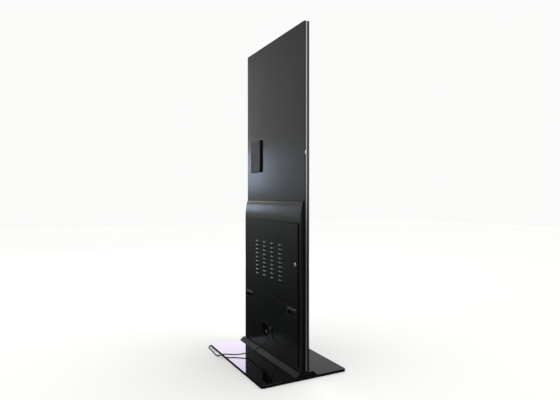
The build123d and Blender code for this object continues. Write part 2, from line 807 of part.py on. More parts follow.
with BuildPart() as power_supply:
    supply_back = plate_back + supply_depth
    shelf_rim, shelf_height = supply_shelf
    across, up, hole_pitch, hole_radius, hole_depth = supply_holes
    block(supply_x, (plate_back, supply_back), supply_z)
    block((supply_x[0] + shelf_rim, supply_x[1] - shelf_rim),
          (plate_back + shelf_height, supply_back + 1),
          (supply_z[0] - 1, supply_z[0] + shelf_height), Mode.SUBTRACT)
    with BuildSketch(facing_front(supply_back)):
        with Locations((sum(supply_x) / 2, sum(supply_z) / 2 + 2 * shelf_height - 2)):
            with GridLocations(hole_pitch, hole_pitch, across, up):
                Circle(hole_radius)
    extrude(amount=hole_depth, mode=Mode.SUBTRACT)
save(power_supply.part, "power_supply")

for place, side in zip(fan_places, ("left", "right")):
    at_plate = Plane(origin=(place, plate_back, fan_height), x_dir=(1, 0, 0), z_dir=(0, 1, 0))
    with BuildPart() as fan_frame:
        with BuildSketch(at_plate):
            RectangleRounded(fan_size, fan_size, fan_corner)
            Circle(fan_bore, mode=Mode.SUBTRACT)
            with GridLocations(fan_screw_pitch, fan_screw_pitch, 2, 2):
                Circle(fan_screw_hole, mode=Mode.SUBTRACT)
        extrude(amount=fan_depth)
        with BuildSketch(at_plate):
            Circle(fan_hub - 1)
            with PolarLocations((fan_hub + fan_bore) / 2, 3):
                Rectangle(fan_bore - fan_hub + 2.5, 4)
        extrude(amount=2)
        with BuildSketch(at_plate):
            Circle(stub_radius)
        extrude(amount=fan_depth - 3)
    save(fan_frame.part, f"fan_frame_{side}")
    with BuildPart(at_plate) as fan_rotor:
        with BuildSketch(at_plate.offset(2.5)):
            Circle(fan_hub)
        extrude(amount=fan_depth - 4)
        with PolarLocations(fan_hub - 1.5 + blade_size[0] / 2, fan_blades):
            with Locations((0, 0, fan_depth / 2 + 0.5)):
                Box(*blade_size, rotation=(blade_pitch, 0, 0))
        with BuildSketch(at_plate.offset(2.5)):
            Circle(stub_radius + running_clearance)
        extrude(amount=fan_depth - 5, mode=Mode.SUBTRACT)
    save(fan_rotor.part, f"fan_rotor_{side}")

speaker_columns = [louvre_middle[0] + side * 1.5 * louvre_pitch_x for side in (-1, 1)]
for x, side in zip(speaker_columns, ("right", "left")):
    with BuildPart() as speaker:
        block((x - speaker_width / 2, x + speaker_width / 2),
              (plate_back, plate_back + speaker_depth),
              (fan_height - speaker_height / 2, fan_height + speaker_height / 2))
        fillet(speaker.edges().filter_by(Axis.Y), speaker_corner)
        for z in (fan_height - driver_spacing / 2, fan_height + driver_spacing / 2):
            rod((x, plate_back + speaker_depth, z), driver_radius, 4, "Y", Mode.SUBTRACT)
            rod((x, plate_back + speaker_depth - 1.5, z), dome_radius, 2.4, "Y")
    save(speaker.part, f"speaker_{side}")

# ================= Mains inlet recess =================

floor_y = (recess_floor - sheet, recess_floor)
with BuildPart() as inlet_box:
    box_x = (recess_x[0] - sheet, recess_x[1] + sheet)
    box_z = (recess_z[0] - sheet, recess_z[1] + sheet)
    flange, flange_sheet = recess_flange
    block((box_x[0] - flange, box_x[1] + flange), (housing_back, housing_back + flange_sheet),
          (box_z[0] - flange, box_z[1] + flange))
    block(box_x, (floor_y[0], housing_back), box_z)
    block(recess_x, (recess_floor, housing_back + 2), recess_z, Mode.SUBTRACT)
    through = (floor_y[0] - 1, recess_floor + 1)
    for place, (wide, tall) in ((inlet_place, inlet_hole), (switch_place, switch_hole),
                                (socket_place, socket_hole)):
        block((place[0] - wide / 2, place[0] + wide / 2), through,
              (place[1] - tall / 2, place[1] + tall / 2), Mode.SUBTRACT)
save(inlet_box.part, "inlet_box")


def flanged_body(place, hole, depth, rim):
    """A snap-in fitting in the recess floor: a rim on the outside and a body through the hole."""
    x, z = place
    wide, tall = hole
    block((x - wide / 2, x + wide / 2), (recess_floor - depth, recess_floor),
          (z - tall / 2, z + tall / 2))
    block((x - wide / 2 - rim, x + wide / 2 + rim), (recess_floor, recess_floor + rim_height),
          (z - tall / 2 - rim, z + tall / 2 + rim))


with BuildPart() as power_inlet:
    flanged_body(inlet_place, inlet_hole, inlet_depth, 1.6)
    block((inlet_place[0] - nose[0] / 2 - socket_gap, inlet_place[0] + nose[0] / 2 + socket_gap),
          (recess_floor + rim_height - nose[2] - 1, recess_floor + rim_height + 1),
          (inlet_place[1] - nose[1] / 2 - socket_gap, inlet_place[1] + nose[1] / 2 + socket_gap),
          Mode.SUBTRACT)
save(power_inlet.part, "power_inlet")

with BuildPart() as switch_housing:
    flanged_body(switch_place, switch_hole, switch_depth, 2.0)
    block((switch_place[0] - rocker_reach, switch_place[0] + rocker_reach),
          (recess_floor - 11, recess_floor + 3), (switch_place[1] - 8, switch_place[1] + 8),
          Mode.SUBTRACT)
save(switch_housing.part, "switch_housing")

rocker_axis = (switch_place[0], recess_floor - 1, switch_place[1] - rocker_length / 2)
with BuildPart() as switch_rocker:
    with BuildSketch(Plane(origin=rocker_axis).rotated((0, 0, -rocker_tilt))):
        with BuildLine():
            Polyline((-rocker_half, 6), (0, 4.2), (rocker_half, 6), (7, -4), (-7, -4), close=True)
        make_face()
    extrude(amount=rocker_length)
save(switch_rocker.part, "switch_rocker")

with BuildPart() as network_socket:
    flanged_body(socket_place, socket_hole, socket_depth, 1.5)
    block((socket_place[0] - 6, socket_place[0] + 6), (recess_floor - 9, recess_floor + 3),
          (socket_place[1] - 5, socket_place[1] + 4), Mode.SUBTRACT)
save(network_socket.part, "network_socket")

# ================= Wiring inside =================


def tangent_radii(points):
    """The corner radii of a route: each is 0.45 of the shorter run over tan(half the turn)."""
    runs = [Vector(*b) - Vector(*a) for a, b in zip(points, points[1:])]
    radii = []
    for run_in, run_out in zip(runs, runs[1:]):
        turn = radians(run_in.get_angle(run_out))
        radii.append(0.45 * min(run_in.length, run_out.length) / tan(turn / 2))
    return radii


def tube(points, radius):
    """A round tube along straight runs joined by tangent arcs, and its length."""
    with BuildPart() as run:
        with BuildLine() as path:
            FilletPolyline(*points, radius=tangent_radii(points))
        with BuildSketch(Plane(origin=path.line @ 0, z_dir=path.line % 0)):
            Circle(radius)
        sweep(path=path.line)
    return run.part, path.wires()[0].length


harness_route = [
    (switch_place[0], recess_floor - switch_depth + 1, switch_place[1] + switch_hole[1] / 2),
    (34, -9, 232),
    (46, -8, 285),
    (66, -3, 330),
    (80, 0, 372),
    (82, 0, supply_z[0]),
]
harness_mains, harness_length = tube(harness_route, harness_radius)
save(harness_mains, "harness_mains")

# ================= Mains lead =================

relief_line = Vector(*relief_end) - Vector(*relief_start)
with BuildPart() as power_connector:
    wide, deep, tall = connector_size
    head_y = (recess_floor + rim_height + 0.3, recess_floor + rim_height + 0.3 + deep)
    head_top = inlet_place[1] + connector_top
    block((inlet_place[0] - wide / 2, inlet_place[0] + wide / 2), head_y, (head_top - tall, head_top))
    fillet(power_connector.edges().filter_by(Axis.Y), 3.5)
    fillet(power_connector.faces().sort_by(Axis.Y)[-1].edges(), 2.5)
    block((inlet_place[0] - nose[0] / 2, inlet_place[0] + nose[0] / 2),
          (recess_floor + rim_height - nose[2], head_y[0] + 1),
          (inlet_place[1] - nose[1] / 2, inlet_place[1] + nose[1] / 2))
    for point, radius in zip((relief_start, relief_end), relief_radii):
        with BuildSketch(Plane(origin=point, z_dir=relief_line)):
            Circle(radius)
    loft()
save(power_connector.part, "power_connector")

power_cord, cord_length = tube(cord_route, cord_radius)
save(power_cord, "power_cord")
section = pi * cord_radius**2
print("cord radii", [round(r, 1) for r in tangent_radii(cord_route)])
print("cord length", round(cord_length, 1), "volume ratio",
      round(power_cord.volume / (section * cord_length), 4))

coil_half = coil_turns_across * cord_radius
coil_height = coil_turns_up * 2 * cord_radius
with BuildPart() as cord_coil:
    with BuildSketch(Plane.XY):
        with Locations(coil_middle):
            Circle(coil_radius + coil_half)
            Circle(coil_radius - coil_half, mode=Mode.SUBTRACT)
    extrude(amount=coil_height)
    fillet(cord_coil.edges().filter_by(GeomType.CIRCLE), cord_radius - 0.3)
save(cord_coil.part, "cord_coil")

plug_x = coil_middle[0] - coil_radius
plug_z = plug_size[2] / 2
plug_relief = coil_middle[1] - 2 * cord_radius - plug_gap
plug_body = (plug_relief - plug_relief_length - plug_size[1], plug_relief - plug_relief_length)
with BuildPart() as mains_plug:
    block((plug_x - plug_size[0] / 2, plug_x + plug_size[0] / 2), plug_body, (0, plug_size[2]))
    fillet(mains_plug.edges().filter_by(Axis.Y), 6)
    fillet(mains_plug.faces().sort_by(Axis.Y)[-1].edges(), 3)
    with BuildSketch(facing_front(plug_relief)):
        with Locations((plug_x, plug_z)):
            Circle(plug_relief_radii[0])
    with BuildSketch(facing_front(plug_body[1] - 1)):
        with Locations((plug_x, plug_z)):
            Circle(plug_relief_radii[1])
    loft()
save(mains_plug.part, "mains_plug")

with BuildPart() as plug_pins:
    for x in (plug_x - 6.3, plug_x + 6.3):
        block((x - 0.8, x + 0.8), (plug_body[0] - pin_length + 2, plug_body[0]),
              (plug_z - 5.5, plug_z + 0.8))
    rod((plug_x, plug_body[0] - pin_length / 2, plug_z + 6), 2.4, pin_length, "Y")
save(plug_pins.part, "plug_pins")
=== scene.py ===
import json
from math import cos, pi, radians, sin

import bmesh
import bpy
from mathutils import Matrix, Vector

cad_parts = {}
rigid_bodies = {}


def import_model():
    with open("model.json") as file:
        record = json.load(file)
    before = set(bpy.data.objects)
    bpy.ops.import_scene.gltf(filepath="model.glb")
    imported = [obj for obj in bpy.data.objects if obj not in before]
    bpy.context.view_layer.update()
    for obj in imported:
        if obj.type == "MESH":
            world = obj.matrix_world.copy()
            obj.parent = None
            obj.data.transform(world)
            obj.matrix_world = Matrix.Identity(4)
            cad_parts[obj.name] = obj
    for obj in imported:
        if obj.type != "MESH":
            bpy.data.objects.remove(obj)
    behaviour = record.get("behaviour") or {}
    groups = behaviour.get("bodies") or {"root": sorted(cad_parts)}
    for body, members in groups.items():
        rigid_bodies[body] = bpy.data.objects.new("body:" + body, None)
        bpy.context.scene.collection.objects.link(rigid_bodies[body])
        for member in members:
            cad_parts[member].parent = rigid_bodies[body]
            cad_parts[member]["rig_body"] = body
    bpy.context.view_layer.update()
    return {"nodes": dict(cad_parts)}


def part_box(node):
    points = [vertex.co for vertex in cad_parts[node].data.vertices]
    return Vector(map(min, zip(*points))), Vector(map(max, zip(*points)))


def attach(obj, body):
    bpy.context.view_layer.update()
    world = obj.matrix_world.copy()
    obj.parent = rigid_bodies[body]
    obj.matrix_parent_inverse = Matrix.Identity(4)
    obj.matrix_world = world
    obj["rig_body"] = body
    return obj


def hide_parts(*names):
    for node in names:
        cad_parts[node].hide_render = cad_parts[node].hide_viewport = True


bl_info = {
    "name": "Touchscreen kiosk",
    "version": (1, 0, 0),
    "blender": (4, 5, 0),
    "location": "View3D > Sidebar > Kiosk",
    "description": "Builds the visible pieces of a free-standing touchscreen kiosk on its frame",
    "category": "Object",
}

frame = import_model()
MM = 0.001
X, Z = 0, 2
# The display's picture area on the screen: its low and high edge along each axis.
PICTURE = {X: (-0.3402, 0.3402), Z: (0.5902, 1.7998)}
# Faces that meet at less than this stay smooth.
SMOOTH_BELOW = radians(40)
# Edges sharper than this are eased.
EASED_ABOVE = radians(35)
EASED_SEGMENTS = 2
# How close two corners lie that are one corner.
SAME_PLACE = 1e-5


# ---------------------------------------------------------------- colours and nodes


def linear(hex_colour):
    """An sRGB hex colour as linear red, green, blue and alpha."""
    parts = [int(hex_colour[i:i + 2], 16) / 255 for i in (1, 3, 5)]
    return [p / 12.92 if p <= 0.04045 else ((p + 0.055) / 1.055) ** 2.4 for p in parts] + [1.0]


def per_mm(size):
    """The scale of a texture on Object coordinates whose features are this many mm across."""
    return 1000.0 / size


def add_node(tree, kind, inputs=None, **settings):
    """Adds a node with its settings, and sets or links its inputs."""
    node = tree.nodes.new(kind)
    for name, value in settings.items():
        setattr(node, name, value)
    for key, value in (inputs or {}).items():
        if isinstance(value, bpy.types.NodeSocket):
            tree.links.new(value, node.inputs[key])
        else:
            node.inputs[key].default_value = value
    return node


def worked(tree, operation, *values):
    """The result of one Math node."""
    return add_node(tree, "ShaderNodeMath", dict(enumerate(values)), operation=operation).outputs[0]


def mix_colours(tree, share, first, second):
    """The second colour over the first, as far as the share says."""
    return add_node(tree, "ShaderNodeMix", {0: share, 6: first, 7: second},
                    data_type="RGBA").outputs[2]


# ---------------------------------------------------------------- finishes


def surface(name, dark, light, roughness, grain_mm, depth_mm, patch_mm, stretch=(1, 1, 1),
            **sockets):
    """A material whose colour and roughness drift in soft patches, with a fine grain in relief."""
    material = bpy.data.materials.new(name)
    material.use_nodes = True
    tree = material.node_tree
    tree.nodes.clear()
    place = add_node(tree, "ShaderNodeTexCoord").outputs["Object"]
    drawn = add_node(tree, "ShaderNodeMapping", {"Vector": place, "Scale": stretch}).outputs[0]
    patch = add_node(tree, "ShaderNodeTexNoise", {
        "Vector": drawn, "Scale": per_mm(patch_mm), "Detail": 3.0}).outputs[0]
    grain = add_node(tree, "ShaderNodeTexNoise", {
        "Vector": drawn, "Scale": per_mm(grain_mm), "Detail": 2.0}).outputs[0]
    colour = mix_colours(tree, patch, linear(dark), linear(light))
    # The noise stays near the middle of its range, so that part is spread between the two
    # roughnesses.
    rough = add_node(tree, "ShaderNodeMapRange", {
        "Value": patch, "From Min": 0.3, "From Max": 0.7,
        "To Min": roughness[0], "To Max": roughness[1]})
    relief = add_node(tree, "ShaderNodeBump", {
        "Height": grain, "Distance": depth_mm * MM, "Strength": 1.0})
    shader = add_node(tree, "ShaderNodeBsdfPrincipled", {
        "Base Color": colour, "Roughness": rough.outputs[0], "Normal": relief.outputs[0]})
    for socket, value in sockets.items():
        shader.inputs[socket.replace("_", " ")].default_value = value
    add_node(tree, "ShaderNodeOutputMaterial", {"Surface": shader.outputs[0]})
    return material


def satin_powder_coat():
    # Polyester powder on steel sheet: nearly black, a soft sheen, a faint orange peel 3 mm wide.
    return surface("satin_powder_coat", "#0b0d0c", "#121413", (0.18, 0.23), 3.0, 0.008, 260)


def textured_powder_coat():
    # A coarser, duller powder on the plinth, which is kicked and swept: fine pits 1 mm apart.
    return surface("textured_powder_coat", "#070808", "#0c0d0c", (0.34, 0.42), 1.0, 0.02, 180,
                   Specular_IOR_Level=0.22)


def gloss_lacquer():
    # Two-pack lacquer, flatted and polished: black and mirror clear, with faint wiping marks.
    return surface("gloss_lacquer", "#040405", "#070708", (0.03, 0.06), 40.0, 0.004, 120, IOR=1.36)


def stand_paint():
    # Dry matt primer on welded bar, never seen in use, a little uneven.
    return surface("stand_paint", "#26282a", "#303234", (0.5, 0.62), 1.6, 0.03, 60)


def polished_aluminium():
    # Drawn aluminium profile, buffed and clear anodised: bright, with fine lines along the draw.
    return surface("polished_aluminium", "#d3d4da", "#e2e3e8", (0.16, 0.22), 0.8, 0.004, 14,
                   stretch=(1, 1, 0.02), Metallic=1.0)


def zinc_plate():
    # Bright zinc on steel: bluish, mottled by the plating bath.
    return surface("zinc_plate", "#a9adb3", "#c6c8c9", (0.28, 0.42), 1.2, 0.006, 9, Metallic=1.0)


def bare_tray_steel():
    # Galvanised sheet of the display's back tray: dull grey with a broad spangle.
    return surface("bare_tray_steel", "#8e9296", "#a8abad", (0.38, 0.5), 6.0, 0.01, 18,
                   Metallic=1.0)


def black_oxide():
    # Blackened steel screws: dark, slightly oily.
    return surface("black_oxide", "#101112", "#1c1d1f", (0.32, 0.45), 0.9, 0.01, 4, Metallic=0.6)


def chrome_plate():
    # Nickel and chrome on zinc die casting: a clean mirror, softened by handling.
    return surface("chrome_plate", "#e4e5e6", "#f2f2f2", (0.14, 0.24), 1.5, 0.003, 6, Metallic=1.0)


def nickelled_brass():
    # Nickel-plated brass pins: pale, warm where the plating is thin.
    return surface("nickelled_brass", "#b9ae90", "#cfcabb", (0.18, 0.28), 1.0, 0.004, 5,
                   Metallic=1.0)


def moulded_black():
    # ABS with a spark-eroded texture: fine dimples about 0.9 mm apart.
    return surface("moulded_black", "#0e0f0f", "#151616", (0.40, 0.5), 0.9, 0.03, 30)


def moulded_white():
    # Natural nylon and white ABS: creamy, faintly translucent.
    return surface("moulded_white", "#d9d8d2", "#e6e5e0", (0.34, 0.44), 1.1, 0.01, 20)


def moulded_grey():
    # Grey glass-filled nylon of the network socket, slightly chalky.
    return surface("moulded_grey", "#5f6163", "#727476", (0.38, 0.5), 1.0, 0.015, 8)


def pvc_sheath():
    # Soft PVC round the conductors: black, slightly greasy, with faint extrusion marks.
    return surface("pvc_sheath", "#0c0c0d", "#131314", (0.34, 0.46), 1.4, 0.02, 25)


def rubber():
    # EPDM pads and seal: dead matt, greyed by talc.
    return surface("rubber", "#111111", "#1b1b1a", (0.7, 0.85), 0.8, 0.03, 12)


def brushed_case():
    # Extruded equipment cases, black anodised over a brushed grain.
    return surface("brushed_case", "#1d1f22", "#2a2c30", (0.3, 0.42), 0.7, 0.012, 40,
                   stretch=(0.04, 1, 1), Metallic=0.85)


def solder_mask():
    # Green epoxy over copper tracks 1.5 mm apart.
    return surface("solder_mask", "#0d3a20", "#1a5a33", (0.22, 0.34), 1.5, 0.03, 5)


def display_film():
    # The cell's rear polariser: smooth dark grey film.
    return surface("display_film", "#0b0c0e", "#101216", (0.12, 0.18), 2.0, 0.002, 90)


def screen_glass():
    # Tempered glass over the display: a black printed border round the dark, faintly blue picture.
    material = surface("screen_glass", "#040405", "#050506", (0.02, 0.035), 60.0, 0.003, 200)
    tree = material.node_tree
    shader = tree.nodes["Principled BSDF"]
    border = shader.inputs["Base Color"].links[0].from_socket
    place = add_node(tree, "ShaderNodeTexCoord").outputs["Object"]
    apart = add_node(tree, "ShaderNodeSeparateXYZ", {0: place})
    within = [worked(tree, "COMPARE", apart.outputs[axis], (low + high) / 2, (high - low) / 2)
              for axis, (low, high) in PICTURE.items()]
    shown = mix_colours(tree, worked(tree, "MULTIPLY", *within), border, linear("#141922"))
    tree.links.new(shown, shader.inputs["Base Color"])
    return material


FINISHES = {
    satin_powder_coat: ["back_cover", "rear_housing", "service_door", "lower_panel", "inlet_box"],
    textured_powder_coat: ["plinth_cover"],
    gloss_lacquer: ["base_plate", "glass_carrier"],
    stand_paint: ["stand_frame", "equipment_plate", "hinge_brackets", "lcd_brackets"],
    polished_aluminium: ["frame_side_left", "frame_side_right", "frame_top", "frame_bottom",
                         "corner_keys"],
    zinc_plate: ["foot_bolts", "lock_cam", "lock_nut", "cam_screw", "hinge_pins", "lcd_spacers"],
    bare_tray_steel: ["backlight_unit"],
    black_oxide: ["back_cover_screws", "plinth_screws", "antenna_screws", "housing_screws"],
    chrome_plate: ["lock_body", "lock_plug"],
    nickelled_brass: ["plug_pins"],
    moulded_black: ["antenna_cover", "pull_handle_left", "pull_handle_right", "fan_frame_left",
                    "fan_frame_right", "fan_rotor_left", "fan_rotor_right", "power_inlet",
                    "switch_housing", "switch_rocker", "speaker_left", "speaker_right"],
    moulded_white: ["receiver_window", "hinge_bushes"],
    moulded_grey: ["network_socket"],
    pvc_sheath: ["power_cord", "cord_coil", "power_connector", "mains_plug", "harness_mains"],
    rubber: ["base_feet", "door_gasket"],
    brushed_case: ["media_player", "power_supply"],
    solder_mask: ["timing_board", "wifi_antenna"],
    display_film: ["lcd_cell"],
    screen_glass: ["front_glass", "touch_sensor"],
}


def finish(make):
    """The material that this function makes, made once."""
    return bpy.data.materials.get(make.__name__) or make()


def body_of(node):
    """The body that a CAD node rides on."""
    return frame["nodes"][node]["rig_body"]


# ---------------------------------------------------------------- building pieces


def placed(name, mesh, make, node, stands_for=()):
    """Puts a mesh in the scene with its finish, on the body of a CAD node, and hides the nodes it
    stands for.
    """
    piece = bpy.data.objects.new(name, mesh)
    bpy.context.scene.collection.objects.link(piece)
    if make:
        mesh.materials.clear()
        mesh.materials.append(finish(make))
    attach(piece, body_of(node))
    if stands_for:
        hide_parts(*stands_for)
    return piece


def soften(mesh, angle=SMOOTH_BELOW):
    """Shades a mesh smooth, but for edges sharper than this."""
    mesh.shade_smooth()
    mesh.set_sharp_from_angle(angle=angle)
    return mesh


def merged_copy(node):
    """A CAD node's shape as a clean mesh: shared corners, and flat faces whole."""
    source = frame["nodes"][node].data
    mesh = bpy.data.meshes.new(node + "_eased")
    mesh.from_pydata([v.co for v in source.vertices], [],
                     [tuple(p.vertices) for p in source.polygons])
    shape = bmesh.new()
    shape.from_mesh(mesh)
    bmesh.ops.remove_doubles(shape, verts=shape.verts, dist=SAME_PLACE)
    bmesh.ops.dissolve_degenerate(shape, edges=shape.edges, dist=1e-6)
    bmesh.ops.dissolve_limit(shape, angle_limit=radians(0.5), verts=shape.verts,
                             edges=shape.edges)
    shape.to_mesh(mesh)
    shape.free()
    return mesh


def eased(node, make, width_mm):
    """A CAD node with its sharp edges eased by this much, standing for the node."""
    mesh = merged_copy(node)
    soften(mesh, EASED_ABOVE)
    piece = placed(node + "_eased", mesh, make, node, [node])
    ease = piece.modifiers.new("ease", "BEVEL")
    ease.width = width_mm * MM
    ease.segments = EASED_SEGMENTS
    ease.limit_method = "ANGLE"
    ease.angle_limit = EASED_ABOVE
    ease.use_clamp_overlap = False
    ease.harden_normals = True
    return piece


def loft(name, rings, closed_ends=True):
    """A mesh through rings of the same number of points, in order, its ends closed."""
    shape = bmesh.new()
    rows = [[shape.verts.new(p) for p in ring] for ring in rings]
    count = len(rings[0])
    for low, high in zip(rows, rows[1:]):
        for k in range(count):
            shape.faces.new((low[k], low[(k + 1) % count], high[(k + 1) % count], high[k]))
    if closed_ends:
        shape.faces.new(list(reversed(rows[0])))
        shape.faces.new(rows[-1])
    bmesh.ops.recalc_face_normals(shape, faces=shape.faces)
    mesh = bpy.data.meshes.new(name)
    shape.to_mesh(mesh)
    shape.free()
    return soften(mesh)


def rounded_ring(centre, across, up, width, height, radius):
    """A rounded rectangle of points round a centre, in the plane of two unit vectors."""
    steps = 6
    points = []
    for quarter, (sx, sy) in enumerate(((1, 1), (-1, 1), (-1, -1), (1, -1))):
        for step in range(steps + 1):
            angle = (quarter + step / steps) * pi / 2
            x = sx * (width / 2 - radius) + radius * cos(angle)
            y = sy * (height / 2 - radius) + radius * sin(angle)
            points.append(centre + across * x + up * y)
    return points


def turned(start, end, profile, count=28):
    """Rings of a turned shape along a line, from pairs of distance along it and radius."""
    line = (end - start).normalized()
    across = line.orthogonal().normalized()
    up = line.cross(across)
    return [[start + line * along + across * (radius * cos(2 * pi * k / count))
             + up * (radius * sin(2 * pi * k / count)) for k in range(count)]
            for along, radius in profile]


def ribbed(length, first, last, count, groove):
    """The profile of a sleeve that tapers between two radii, with this many grooves round it."""
    pitch = length / count
    # How far along each pitch, and how deep: a rib, then the groove after it.
    rib_and_groove = ((0.0, 0.0), (0.55, 0.0), (0.64, groove), (0.92, groove))
    profile = []
    for k in range(count):
        for share, sunk in rib_and_groove:
            along = (k + share) * pitch
            profile.append((along, first + (last - first) * along / length - sunk))
    return profile + [(length, last)]


def joined(name, meshes):
    """Several meshes as one."""
    shape = bmesh.new()
    for mesh in meshes:
        shape.from_mesh(mesh)
    whole = bpy.data.meshes.new(name)
    shape.to_mesh(whole)
    shape.free()
    return soften(whole)


def islands(node):
    """The lowest and highest corner of each separate solid in a CAD node."""
    shape = bmesh.new()
    shape.from_mesh(frame["nodes"][node].data)
    bmesh.ops.remove_doubles(shape, verts=shape.verts, dist=SAME_PLACE)
    left = set(shape.verts)
    corners = []
    while left:
        found = [left.pop()]
        for vert in found:
            for edge in vert.link_edges:
                other = edge.other_vert(vert)
                if other in left:
                    left.remove(other)
                    found.append(other)
        corners.append(([min(v.co[k] for v in found) for k in range(3)],
                        [max(v.co[k] for v in found) for k in range(3)]))
    shape.free()
    return sorted(corners)


# ---------------------------------------------------------------- Geometry Nodes


def shape_tree(name, sizes):
    """A new Geometry Nodes tree with these named sizes, and its input node."""
    tree = bpy.data.node_groups.new(name, "GeometryNodeTree")
    tree.interface.new_socket("Geometry", in_out="INPUT", socket_type="NodeSocketGeometry")
    for label, value in sizes.items():
        kind = "NodeSocketInt" if isinstance(value, int) else "NodeSocketFloat"
        tree.interface.new_socket(label, in_out="INPUT", socket_type=kind).default_value = value
    tree.interface.new_socket("Geometry", in_out="OUTPUT", socket_type="NodeSocketGeometry")
    return tree, tree.nodes.new("NodeGroupInput").outputs


def vector(tree, x, y, z):
    """Three numbers as a vector."""
    return add_node(tree, "ShaderNodeCombineXYZ", {0: x, 1: y, 2: z}).outputs[0]


def end_tree(tree, geometry, make):
    """Ends a tree in real geometry with its finish."""
    whole = add_node(tree, "GeometryNodeRealizeInstances", {"Geometry": geometry}).outputs[0]
    painted = add_node(tree, "GeometryNodeSetMaterial", {
        "Geometry": whole, "Material": finish(make)})
    add_node(tree, "NodeGroupOutput", {0: painted.outputs[0]})


def louvre_tree():
    """Pressed hoods on a grid: full depth at the lower lip, running out to the sheet at the top.

    Each starts as a flat square one metre wide, whose points are moved by where they lie in it."""
    tree, given = shape_tree("louvre_hoods", {
        "Width": 0.053, "Height": 0.0125, "Rise": 0.004, "Sunk": 0.0003, "Columns": 4, "Rows": 9,
        "Pitch across": 0.1034, "Pitch up": 0.0253, "Middle across": 0.0, "Face": 0.022,
        "Middle up": 0.0})
    flat = add_node(tree, "GeometryNodeMeshGrid", {
        "Size X": 1.0, "Size Y": 1.0, "Vertices X": 19, "Vertices Y": 9}).outputs[0]
    point = add_node(tree, "ShaderNodeSeparateXYZ",
                     {0: add_node(tree, "GeometryNodeInputPosition").outputs[0]}).outputs
    up = worked(tree, "SUBTRACT", 0.5, point[1])
    run_out = worked(tree, "COSINE", worked(tree, "MULTIPLY", up, pi / 2))
    # Level for most of the width, then steep at both ends.
    ends = worked(tree, "SUBTRACT", 1.0, worked(tree, "POWER", worked(
        tree, "ABSOLUTE", worked(tree, "MULTIPLY", point[0], 2.0)), 4.0))
    depth = worked(tree, "MULTIPLY", worked(tree, "MULTIPLY", run_out, ends), given["Rise"])
    hood = add_node(tree, "GeometryNodeSetPosition", {
        "Geometry": flat, "Position": vector(
            tree, worked(tree, "MULTIPLY", point[0], given["Width"]),
            worked(tree, "SUBTRACT", depth, given["Sunk"]),
            worked(tree, "MULTIPLY", up, given["Height"]))}).outputs[0]
    across, high = (
        worked(tree, "MULTIPLY", given[pitch], worked(tree, "SUBTRACT", given[count], 1.0))
        for pitch, count in (("Pitch across", "Columns"), ("Pitch up", "Rows")))
    spots = add_node(tree, "GeometryNodeMeshGrid", {
        "Size X": across, "Size Y": high,
        "Vertices X": given["Columns"], "Vertices Y": given["Rows"]}).outputs[0]
    upright = add_node(tree, "GeometryNodeSetPosition", {
        "Geometry": spots, "Position": vector(
            tree, worked(tree, "ADD", point[0], given["Middle across"]), given["Face"],
            worked(tree, "ADD", point[1], given["Middle up"]))}).outputs[0]
    hoods = add_node(tree, "GeometryNodeInstanceOnPoints", {"Points": upright, "Instance": hood})
    end_tree(tree, hoods.outputs[0], satin_powder_coat)
    return tree


def screw_tree(make):
    """Round-headed screws with a cross recess, each turned differently, at outward points."""
    tree, given = shape_tree("screws", {"Head radius": 0.003, "Head height": 0.0012,
                                        "Shank radius": 0.0015, "Shank length": 0.006, "Seed": 7})
    ball = add_node(tree, "GeometryNodeMeshUVSphere", {"Segments": 28, "Rings": 14, "Radius": 1.0})
    head = add_node(tree, "GeometryNodeTransform", {
        "Geometry": ball.outputs[0],
        "Scale": vector(tree, given["Head radius"], given["Head radius"],
                        given["Head height"])}).outputs[0]
    # The two arms of the cross, as shares of the head's radius.
    long = worked(tree, "MULTIPLY", given["Head radius"], 1.2)
    short = worked(tree, "MULTIPLY", given["Head radius"], 0.24)
    for size in (vector(tree, long, short, given["Head height"]),
                 vector(tree, short, long, given["Head height"])):
        bar = add_node(tree, "GeometryNodeTransform", {
            "Geometry": add_node(tree, "GeometryNodeMeshCube", {"Size": size}).outputs[0],
            "Translation": vector(tree, 0.0, 0.0, given["Head height"])}).outputs[0]
        head = add_node(tree, "GeometryNodeMeshBoolean", {"Mesh 1": head, "Mesh 2": bar},
                        operation="DIFFERENCE").outputs[0]
    shank = add_node(tree, "GeometryNodeTransform", {
        "Geometry": add_node(tree, "GeometryNodeMeshCylinder", {
            "Vertices": 16, "Radius": given["Shank radius"],
            "Depth": given["Shank length"]}).outputs[0],
        "Translation": vector(tree, 0.0, 0.0,
                              worked(tree, "MULTIPLY", given["Shank length"], -0.5))})
    screw = add_node(tree, "GeometryNodeJoinGeometry", {0: head})
    tree.links.new(shank.outputs[0], screw.inputs[0])
    outward = add_node(tree, "GeometryNodeInputNamedAttribute", {"Name": "outward"},
                       data_type="FLOAT_VECTOR").outputs[0]
    facing = add_node(tree, "FunctionNodeAlignRotationToVector", {"Vector": outward}, axis="Z")
    angle = add_node(tree, "FunctionNodeRandomValue", {2: 0.0, 3: 2 * pi, "Seed": given["Seed"]},
                     data_type="FLOAT").outputs[1]
    spin = add_node(tree, "FunctionNodeAxisAngleToRotation", {"Axis": (0, 0, 1), "Angle": angle})
    rotation = add_node(tree, "FunctionNodeRotateRotation", {
        "Rotation": facing.outputs[0], "Rotate By": spin.outputs[0]}, rotation_space="LOCAL")
    screws = add_node(tree, "GeometryNodeInstanceOnPoints", {
        "Points": given["Geometry"], "Instance": screw.outputs[0], "Rotation": rotation.outputs[0]})
    end_tree(tree, screws.outputs[0], make)
    return tree


